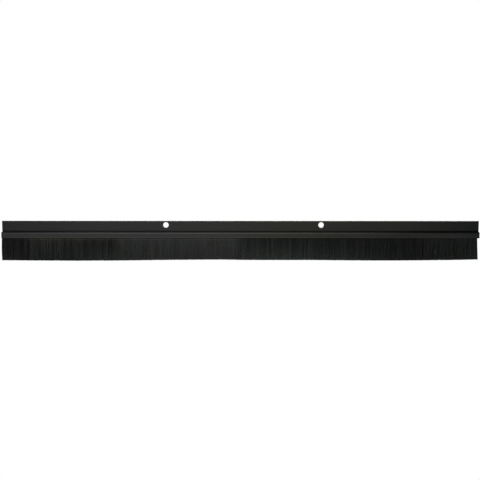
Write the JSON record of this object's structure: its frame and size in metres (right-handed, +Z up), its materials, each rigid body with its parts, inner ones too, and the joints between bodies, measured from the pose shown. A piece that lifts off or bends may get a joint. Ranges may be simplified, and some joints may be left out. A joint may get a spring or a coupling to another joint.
{
  "type": "door sweep",
  "caption": "Brush door sweep: a flat black aluminium flange with round fixing holes, a pocket rib along its foot, and a sliding strip brush of flexing black bristles.",
  "frame": {"origin": "on the door face of the flange, at the middle of the carrier's length, level with the fixing holes", "axes": "+X along the sweep to the right as seen from the front, +Y out of the back face into the door, so the front looks to -Y, +Z up towards the flange's top edge"},
  "size_m": [0.9144, 0.012, 0.0762],
  "materials": {
    "carrier_black": "black anodised, satin",
    "galvanised_steel": "galvanised, dull",
    "wire_steel": "drawn wire, satin",
    "nylon_filament": "black nylon filament, semi-matte"
  },
  "bodies": {
    "carrier": {"carrier": "carrier_black"},
    "brush_strip": {"backing_channel": "galvanised_steel", "core_wire": "wire_steel", "filament_roots": "nylon_filament"},
    "bristle_row_01": {"bristles_01": "nylon_filament"},
    "bristle_row_02": {"bristles_02": "nylon_filament"},
    "bristle_row_03": {"bristles_03": "nylon_filament"},
    "bristle_row_04": {"bristles_04": "nylon_filament"},
    "bristle_row_05": {"bristles_05": "nylon_filament"},
    "bristle_row_06": {"bristles_06": "nylon_filament"},
    "bristle_row_07": {"bristles_07": "nylon_filament"},
    "bristle_row_08": {"bristles_08": "nylon_filament"},
    "bristle_row_09": {"bristles_09": "nylon_filament"},
    "bristle_row_10": {"bristles_10": "nylon_filament"},
    "bristle_row_11": {"bristles_11": "nylon_filament"},
    "bristle_row_12": {"bristles_12": "nylon_filament"},
    "bristle_row_13": {"bristles_13": "nylon_filament"},
    "bristle_row_14": {"bristles_14": "nylon_filament"},
    "bristle_row_15": {"bristles_15": "nylon_filament"},
    "bristle_row_16": {"bristles_16": "nylon_filament"}
  },
  "joints": [
    {"name": "brush_slide", "type": "slide", "parent": "carrier", "child": "brush_strip", "axis": [1, 0, 0], "range_m": [0, 0.86]},
    {"name": "flex_01", "type": "hinge", "parent": "brush_strip", "child": "bristle_row_01", "pos_m": [-0.42853, -0.006, -0.0253], "axis": [1, 0, 0], "range_deg": [-45, 45], "stiffness_Nm_per_rad": 0.12},
    {"name": "flex_02", "type": "hinge", "parent": "brush_strip", "child": "bristle_row_02", "pos_m": [-0.37159, -0.006, -0.0253], "axis": [1, 0, 0], "range_deg": [-45, 45], "stiffness_Nm_per_rad": 0.12},
    {"name": "flex_03", "type": "hinge", "parent": "brush_strip", "child": "bristle_row_03", "pos_m": [-0.31466, -0.006, -0.0253], "axis": [1, 0, 0], "range_deg": [-45, 45], "stiffness_Nm_per_rad": 0.12},
    {"name": "flex_04", "type": "hinge", "parent": "brush_strip", "child": "bristle_row_04", "pos_m": [-0.25772, -0.006, -0.0253], "axis": [1, 0, 0], "range_deg": [-45, 45], "stiffness_Nm_per_rad": 0.12},
    {"name": "flex_05", "type": "hinge", "parent": "brush_strip", "child": "bristle_row_05", "pos_m": [-0.20078, -0.006, -0.0253], "axis": [1, 0, 0], "range_deg": [-45, 45], "stiffness_Nm_per_rad": 0.12},
    {"name": "flex_06", "type": "hinge", "parent": "brush_strip", "child": "bristle_row_06", "pos_m": [-0.14384, -0.006, -0.0253], "axis": [1, 0, 0], "range_deg": [-45, 45], "stiffness_Nm_per_rad": 0.12},
    {"name": "flex_07", "type": "hinge", "parent": "brush_strip", "child": "bristle_row_07", "pos_m": [-0.08691, -0.006, -0.0253], "axis": [1, 0, 0], "range_deg": [-45, 45], "stiffness_Nm_per_rad": 0.12},
    {"name": "flex_08", "type": "hinge", "parent": "brush_strip", "child": "bristle_row_08", "pos_m": [-0.02997, -0.006, -0.0253], "axis": [1, 0, 0], "range_deg": [-45, 45], "stiffness_Nm_per_rad": 0.12},
    {"name": "flex_09", "type": "hinge", "parent": "brush_strip", "child": "bristle_row_09", "pos_m": [0.02697, -0.006, -0.0253], "axis": [1, 0, 0], "range_deg": [-45, 45], "stiffness_Nm_per_rad": 0.12},
    {"name": "flex_10", "type": "hinge", "parent": "brush_strip", "child": "bristle_row_10", "pos_m": [0.08391, -0.006, -0.0253], "axis": [1, 0, 0], "range_deg": [-45, 45], "stiffness_Nm_per_rad": 0.12},
    {"name": "flex_11", "type": "hinge", "parent": "brush_strip", "child": "bristle_row_11", "pos_m": [0.14084, -0.006, -0.0253], "axis": [1, 0, 0], "range_deg": [-45, 45], "stiffness_Nm_per_rad": 0.12},
    {"name": "flex_12", "type": "hinge", "parent": "brush_strip", "child": "bristle_row_12", "pos_m": [0.19778, -0.006, -0.0253], "axis": [1, 0, 0], "range_deg": [-45, 45], "stiffness_Nm_per_rad": 0.12},
    {"name": "flex_13", "type": "hinge", "parent": "brush_strip", "child": "bristle_row_13", "pos_m": [0.25472, -0.006, -0.0253], "axis": [1, 0, 0], "range_deg": [-45, 45], "stiffness_Nm_per_rad": 0.12},
    {"name": "flex_14", "type": "hinge", "parent": "brush_strip", "child": "bristle_row_14", "pos_m": [0.31166, -0.006, -0.0253], "axis": [1, 0, 0], "range_deg": [-45, 45], "stiffness_Nm_per_rad": 0.12},
    {"name": "flex_15", "type": "hinge", "parent": "brush_strip", "child": "bristle_row_15", "pos_m": [0.36859, -0.006, -0.0253], "axis": [1, 0, 0], "range_deg": [-45, 45], "stiffness_Nm_per_rad": 0.12},
    {"name": "flex_16", "type": "hinge", "parent": "brush_strip", "child": "bristle_row_16", "pos_m": [0.42553, -0.006, -0.0253], "axis": [1, 0, 0], "range_deg": [-45, 45], "stiffness_Nm_per_rad": 0.12}
  ]
}
